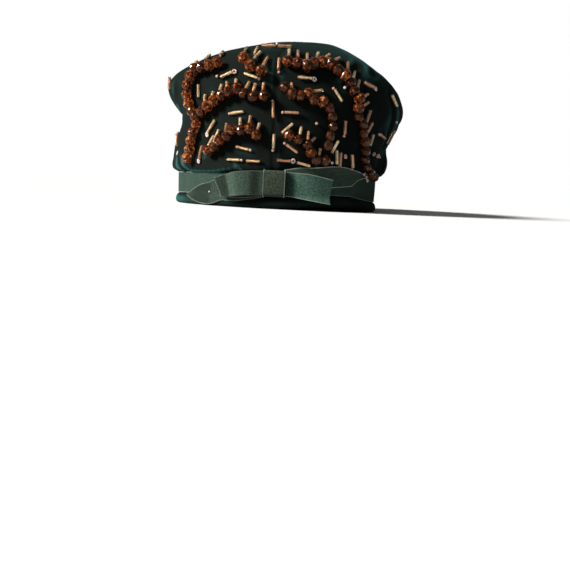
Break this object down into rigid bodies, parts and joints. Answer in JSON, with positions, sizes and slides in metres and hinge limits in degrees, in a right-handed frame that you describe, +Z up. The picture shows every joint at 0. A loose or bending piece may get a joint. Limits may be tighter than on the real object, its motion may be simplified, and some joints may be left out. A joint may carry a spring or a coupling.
{
  "type": "velvet hat",
  "caption": "Soft puffed velvet hat with a rolled headband, a flat ribbon bow in front and strings of faceted beads with bugles on the crown.",
  "frame": {"origin": "centre of the hat's plan, on the plane that the headband's lower edge rests on", "axes": "+Z up through the crown, -Y towards the front of the hat, +X the side of the bow's cut tail"},
  "size_m": [0.2002, 0.2276, 0.1355],
  "materials": {
    "velvet": "dark teal-green velvet",
    "grosgrain": "grey-green grosgrain ribbon",
    "amber_glass": "faceted amber glass",
    "gold_bugle": "gold-lined glass",
    "clear_seed": "clear and pearl seed beads"
  },
  "bodies": {
    "root": {"bead_string_inner_left": "amber_glass", "bead_string_inner_right": "amber_glass", "bead_string_middle_left": "amber_glass", "bead_string_middle_right": "amber_glass", "bead_string_outer_left": "amber_glass", "bead_string_outer_right": "amber_glass", "bead_string_top_left": "amber_glass", "bow_knot": "grosgrain", "bow_left_leaf": "grosgrain", "bow_left_loop": "grosgrain", "bow_right_leaf": "grosgrain", "bow_right_tail": "grosgrain", "bugle_01": "gold_bugle", "bugle_02": "gold_bugle", "bugle_03": "gold_bugle", "bugle_04": "gold_bugle", "bugle_05": "gold_bugle", "bugle_06": "gold_bugle", "bugle_07": "gold_bugle", "bugle_08": "gold_bugle", "bugle_09": "gold_bugle", "bugle_10": "gold_bugle", "bugle_11": "gold_bugle", "bugle_12": "gold_bugle", "bugle_13": "gold_bugle", "bugle_14": "gold_bugle", "bugle_15": "gold_bugle", "bugle_16": "gold_bugle", "bugle_17": "gold_bugle", "bugle_18": "gold_bugle", "bugle_19": "gold_bugle", "bugle_20": "gold_bugle", "bugle_21": "gold_bugle", "bugle_22": "gold_bugle", "bugle_23": "gold_bugle", "bugle_24": "gold_bugle", "bugle_25": "gold_bugle", "bugle_26": "gold_bugle", "bugle_27": "gold_bugle", "bugle_28": "gold_bugle", "bugle_29": "gold_bugle", "bugle_30": "gold_bugle", "bugle_31": "gold_bugle", "bugle_32": "gold_bugle", "bugle_33": "gold_bugle", "bugle_34": "gold_bugle", "bugle_35": "gold_bugle", "bugle_36": "gold_bugle", "bugle_37": "gold_bugle", "bugle_38": "gold_bugle", "crown": "velvet", "hatband_ribbon": "grosgrain", "headband": "velvet"}
  },
  "joints": []
}
